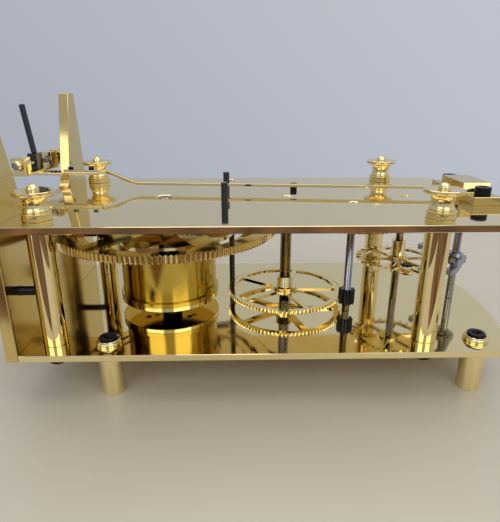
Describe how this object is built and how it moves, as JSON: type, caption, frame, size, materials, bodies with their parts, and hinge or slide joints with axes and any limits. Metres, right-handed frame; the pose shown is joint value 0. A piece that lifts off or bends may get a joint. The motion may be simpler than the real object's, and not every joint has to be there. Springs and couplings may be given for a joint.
{
  "type": "regulator clock movement",
  "caption": "Brass regulator movement of a longcase clock, lying on its dial posts, with seat board, barrel, geared train, escapement and adjustable crutch.",
  "frame": {"origin": "centre arbor axis on the plane of the dial posts' ends, at the centre of the four dial posts", "axes": "+X to the top of the clock, away from the seat board; +Z to the back of the clock, up as the movement lies"},
  "size_m": [0.2851, 0.1314, 0.151],
  "materials": {
    "polished_brass": "mirror polished and lacquered",
    "satin_brass": "fine turned or grained satin",
    "polished_steel": "polished steel",
    "black_steel": "blackened steel"
  },
  "bodies": {
    "frame": {"front_plate": "polished_brass", "back_plate": "polished_brass", "pillar_near_low": "polished_brass", "pillar_near_high": "polished_brass", "pillar_far_low": "polished_brass", "pillar_far_high": "polished_brass", "nut_near_low": "polished_brass", "nut_near_high": "polished_brass", "nut_far_low": "polished_brass", "nut_far_high": "polished_brass", "post_near_low": "satin_brass", "post_near_high": "satin_brass", "post_far_low": "satin_brass", "post_far_high": "satin_brass", "pillar_screws": "black_steel", "post_screws": "black_steel", "post_washers": "polished_brass", "seat_board": "satin_brass", "seat_screws": "black_steel", "back_cock": "polished_brass", "cock_screws": "black_steel", "banking_pins": "black_steel", "detent_spring": "polished_steel", "spring_screw": "black_steel", "minute_stud": "polished_steel"},
    "great": {"great_wheel": "polished_brass", "keeper_ratchet": "polished_brass", "click_spring": "polished_steel", "click_screw": "black_steel"},
    "click": {"click": "polished_steel"},
    "barrel": {"barrel_drum": "satin_brass", "barrel_cap": "polished_brass", "barrel_ratchet": "polished_steel", "barrel_arbor": "polished_steel", "barrel_collet": "polished_brass"},
    "detent": {"detent_arbor": "black_steel", "detent_arm": "polished_steel"},
    "centre": {"centre_arbor": "polished_steel", "centre_collet": "polished_brass", "centre_wheel": "polished_brass", "cannon_pinion": "polished_steel"},
    "third": {"third_arbor": "polished_steel", "third_collet": "polished_brass", "third_wheel": "polished_brass"},
    "escape": {"escape_arbor": "polished_steel", "escape_collet": "polished_brass", "escape_wheel": "polished_brass"},
    "pallet": {"pallet_arbor": "polished_steel", "pallets": "polished_steel", "crutch_arm": "polished_brass", "crutch_foot": "polished_brass", "crutch_screws": "black_steel"},
    "beat": {"beat_screw": "polished_steel", "beat_nut": "polished_brass", "beat_knob": "polished_brass"},
    "block": {"beat_block": "black_steel", "crutch_pin": "black_steel"},
    "minute": {"minute_wheel": "polished_brass"},
    "hour": {"hour_wheel": "polished_brass"}
  },
  "joints": [
    {"name": "centre_turn", "type": "hinge", "parent": "frame", "child": "centre", "pos_m": [0, 0, 0.06], "axis": [0, 0, 1], "continuous": true},
    {"name": "great_turn", "type": "hinge", "parent": "frame", "child": "great", "pos_m": [-0.0708, 0, 0.077], "axis": [0, 0, 1], "continuous": true},
    {"name": "third_turn", "type": "hinge", "parent": "frame", "child": "third", "pos_m": [0.035, -0.017, 0.06], "axis": [0, 0, 1], "continuous": true},
    {"name": "escape_turn", "type": "hinge", "parent": "frame", "child": "escape", "pos_m": [0.0689, 0, 0.06], "axis": [0, 0, 1], "continuous": true},
    {"name": "minute_turn", "type": "hinge", "parent": "frame", "child": "minute", "pos_m": [0, 0.026, 0.022], "axis": [0, 0, 1], "continuous": true},
    {"name": "hour_turn", "type": "hinge", "parent": "frame", "child": "hour", "pos_m": [0, 0, 0.02], "axis": [0, 0, 1], "continuous": true},
    {"name": "winding", "type": "hinge", "parent": "great", "child": "barrel", "pos_m": [-0.0708, 0, 0.05], "axis": [0, 0, 1], "continuous": true},
    {"name": "click_lift", "type": "hinge", "parent": "great", "child": "click", "pos_m": [-0.04475, 0.02185, 0.072], "axis": [0, 0, 1], "range_deg": [-3, 0]},
    {"name": "detent_lift", "type": "hinge", "parent": "frame", "child": "detent", "pos_m": [-0.03376, 0.05704, 0.074], "axis": [0, 0, 1], "range_deg": [-6, 0]},
    {"name": "crutch_swing", "type": "hinge", "parent": "frame", "child": "pallet", "pos_m": [0.1047, 0, 0.099], "axis": [0, 0, 1], "range_deg": [0, 11.41]},
    {"name": "beat_screw_turn", "type": "hinge", "parent": "pallet", "child": "beat", "pos_m": [-0.15362, 0.0258, 0.111], "axis": [0.0994, 0.9951, 0], "range_deg": [-2160, 2160]},
    {"name": "beat_block_slide", "type": "slide", "parent": "pallet", "child": "block", "axis": [0.0994, 0.9951, 0], "range_m": [-0.0085, 0.0085]}
  ],
  "couplings": [
    {"joint": "escape_turn", "follows": "third_turn", "ratio": -7.5},
    {"joint": "centre_turn", "follows": "third_turn", "ratio": -0.125},
    {"joint": "great_turn", "follows": "third_turn", "ratio": 0.0125},
    {"joint": "minute_turn", "follows": "third_turn", "ratio": 0.0625},
    {"joint": "hour_turn", "follows": "third_turn", "ratio": -0.010417},
    {"joint": "beat_block_slide", "follows": "beat_screw_turn", "m_per_rad": 0.00011141}
  ]
}
